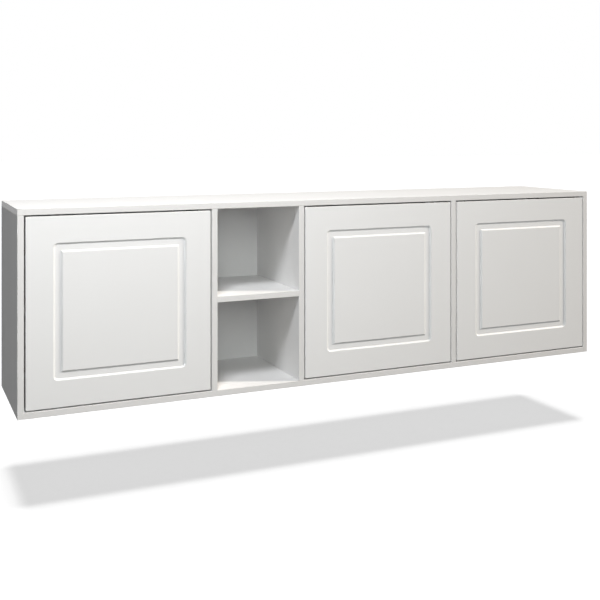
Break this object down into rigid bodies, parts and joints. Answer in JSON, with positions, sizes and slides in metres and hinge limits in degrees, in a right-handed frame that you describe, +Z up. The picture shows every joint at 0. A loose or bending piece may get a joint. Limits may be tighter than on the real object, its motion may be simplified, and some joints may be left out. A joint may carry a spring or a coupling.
{
  "type": "floating media console",
  "caption": "Wall-hung low media console with inset handleless push-to-open doors, routed square panels and an open shelf bay.",
  "frame": {"origin": "centre of the line of screw holes in the wall rail, on the wall plane", "axes": "+X to the right seen from the front, +Y into the wall, +Z up; the doors face -Y"},
  "size_m": [1.8, 0.344, 0.525],
  "materials": {
    "white_board": "satin white melamine-faced board",
    "white_door": "satin white foil over routed fibreboard",
    "white_back": "white lacquered hardboard",
    "nickel_steel": "nickel plated pressed steel",
    "bright_steel": "zinc plated turned steel",
    "zinc_alloy": "die-cast zinc",
    "galvanised_steel": "galvanised sheet steel",
    "grey_plastic": "grey moulded plastic",
    "beech": "plain turned beech"
  },
  "bodies": {
    "cabinet": {"top_panel": "white_board", "bottom_panel": "white_board", "left_side_panel": "white_board", "right_side_panel": "white_board", "divider_1": "white_board", "divider_2": "white_board", "divider_3": "white_board", "open_bay_shelf": "white_board", "inner_shelf_1": "white_board", "inner_shelf_2": "white_board", "inner_shelf_3": "white_board", "back_panel": "white_back", "shelf_pins": "nickel_steel", "cam_locks": "zinc_alloy", "cam_pins": "zinc_alloy", "wood_dowels": "beech", "hinge_arms": "nickel_steel", "hinge_arm_pins": "bright_steel", "hinge_plates": "nickel_steel", "hinge_plate_screws": "bright_steel", "hinge_arm_screws": "bright_steel", "latch_housings": "grey_plastic", "latch_screws": "bright_steel", "wall_rail": "galvanised_steel", "hanger_housings": "galvanised_steel", "hanger_hooks": "galvanised_steel", "hanger_adjusters": "bright_steel", "hanger_fixings": "bright_steel"},
    "door_1": {"door_1": "white_door", "hinge_cups_1": "nickel_steel", "hinge_cup_pins_1": "bright_steel", "hinge_cup_screws_1": "bright_steel", "strike_plate_1": "bright_steel", "strike_screw_1": "bright_steel"},
    "outer_links_1": {"hinge_outer_links_1": "nickel_steel"},
    "inner_links_1": {"hinge_inner_links_1": "nickel_steel"},
    "plunger_1": {"latch_plunger_1": "grey_plastic"},
    "door_2": {"door_2": "white_door", "hinge_cups_2": "nickel_steel", "hinge_cup_pins_2": "bright_steel", "hinge_cup_screws_2": "bright_steel", "strike_plate_2": "bright_steel", "strike_screw_2": "bright_steel"},
    "outer_links_2": {"hinge_outer_links_2": "nickel_steel"},
    "inner_links_2": {"hinge_inner_links_2": "nickel_steel"},
    "plunger_2": {"latch_plunger_2": "grey_plastic"},
    "door_3": {"door_3": "white_door", "hinge_cups_3": "nickel_steel", "hinge_cup_pins_3": "bright_steel", "hinge_cup_screws_3": "bright_steel", "strike_plate_3": "bright_steel", "strike_screw_3": "bright_steel"},
    "outer_links_3": {"hinge_outer_links_3": "nickel_steel"},
    "inner_links_3": {"hinge_inner_links_3": "nickel_steel"},
    "plunger_3": {"latch_plunger_3": "grey_plastic"}
  },
  "joints": [
    {"name": "door_1_outer_links", "type": "hinge", "parent": "cabinet", "child": "outer_links_1", "pos_m": [-0.86, -0.318, -0.2175], "axis": [0, 0, 1], "range_deg": [0, 19.5]},
    {"name": "door_1_swing", "type": "hinge", "parent": "outer_links_1", "child": "door_1", "pos_m": [-0.869, -0.336, -0.2175], "axis": [0, 0, -1], "range_deg": [0, 114]},
    {"name": "door_1_inner_links", "type": "hinge", "parent": "cabinet", "child": "inner_links_1", "pos_m": [-0.839, -0.3235, -0.2175], "axis": [0, 0, 1], "range_deg": [0, 21.4]},
    {"name": "latch_1_press", "type": "slide", "parent": "cabinet", "child": "plunger_1", "axis": [0, 1, 0], "range_m": [0, 0.003], "stiffness_N_per_m": 500},
    {"name": "door_2_outer_links", "type": "hinge", "parent": "cabinet", "child": "outer_links_2", "pos_m": [-0.09333, -0.318, -0.2175], "axis": [0, 0, 1], "range_deg": [0, 19.5]},
    {"name": "door_2_swing", "type": "hinge", "parent": "outer_links_2", "child": "door_2", "pos_m": [-0.10233, -0.336, -0.2175], "axis": [0, 0, -1], "range_deg": [0, 114]},
    {"name": "door_2_inner_links", "type": "hinge", "parent": "cabinet", "child": "inner_links_2", "pos_m": [-0.07233, -0.3235, -0.2175], "axis": [0, 0, 1], "range_deg": [0, 21.4]},
    {"name": "latch_2_press", "type": "slide", "parent": "cabinet", "child": "plunger_2", "axis": [0, 1, 0], "range_m": [0, 0.003], "stiffness_N_per_m": 500},
    {"name": "door_3_outer_links", "type": "hinge", "parent": "cabinet", "child": "outer_links_3", "pos_m": [0.86, -0.318, -0.2175], "axis": [0, 0, -1], "range_deg": [0, 19.5]},
    {"name": "door_3_swing", "type": "hinge", "parent": "outer_links_3", "child": "door_3", "pos_m": [0.869, -0.336, -0.2175], "axis": [0, 0, 1], "range_deg": [0, 114]},
    {"name": "door_3_inner_links", "type": "hinge", "parent": "cabinet", "child": "inner_links_3", "pos_m": [0.839, -0.3235, -0.2175], "axis": [0, 0, -1], "range_deg": [0, 21.4]},
    {"name": "latch_3_press", "type": "slide", "parent": "cabinet", "child": "plunger_3", "axis": [0, 1, 0], "range_m": [0, 0.003], "stiffness_N_per_m": 500}
  ],
  "couplings": [
    {"joint": "door_1_outer_links", "follows": "door_1_swing", "ratio": 0.16667},
    {"joint": "door_1_inner_links", "follows": "door_1_swing", "ratio": 0.18333},
    {"joint": "door_2_outer_links", "follows": "door_2_swing", "ratio": 0.16667},
    {"joint": "door_2_inner_links", "follows": "door_2_swing", "ratio": 0.18333},
    {"joint": "door_3_outer_links", "follows": "door_3_swing", "ratio": 0.16667},
    {"joint": "door_3_inner_links", "follows": "door_3_swing", "ratio": 0.18333}
  ]
}
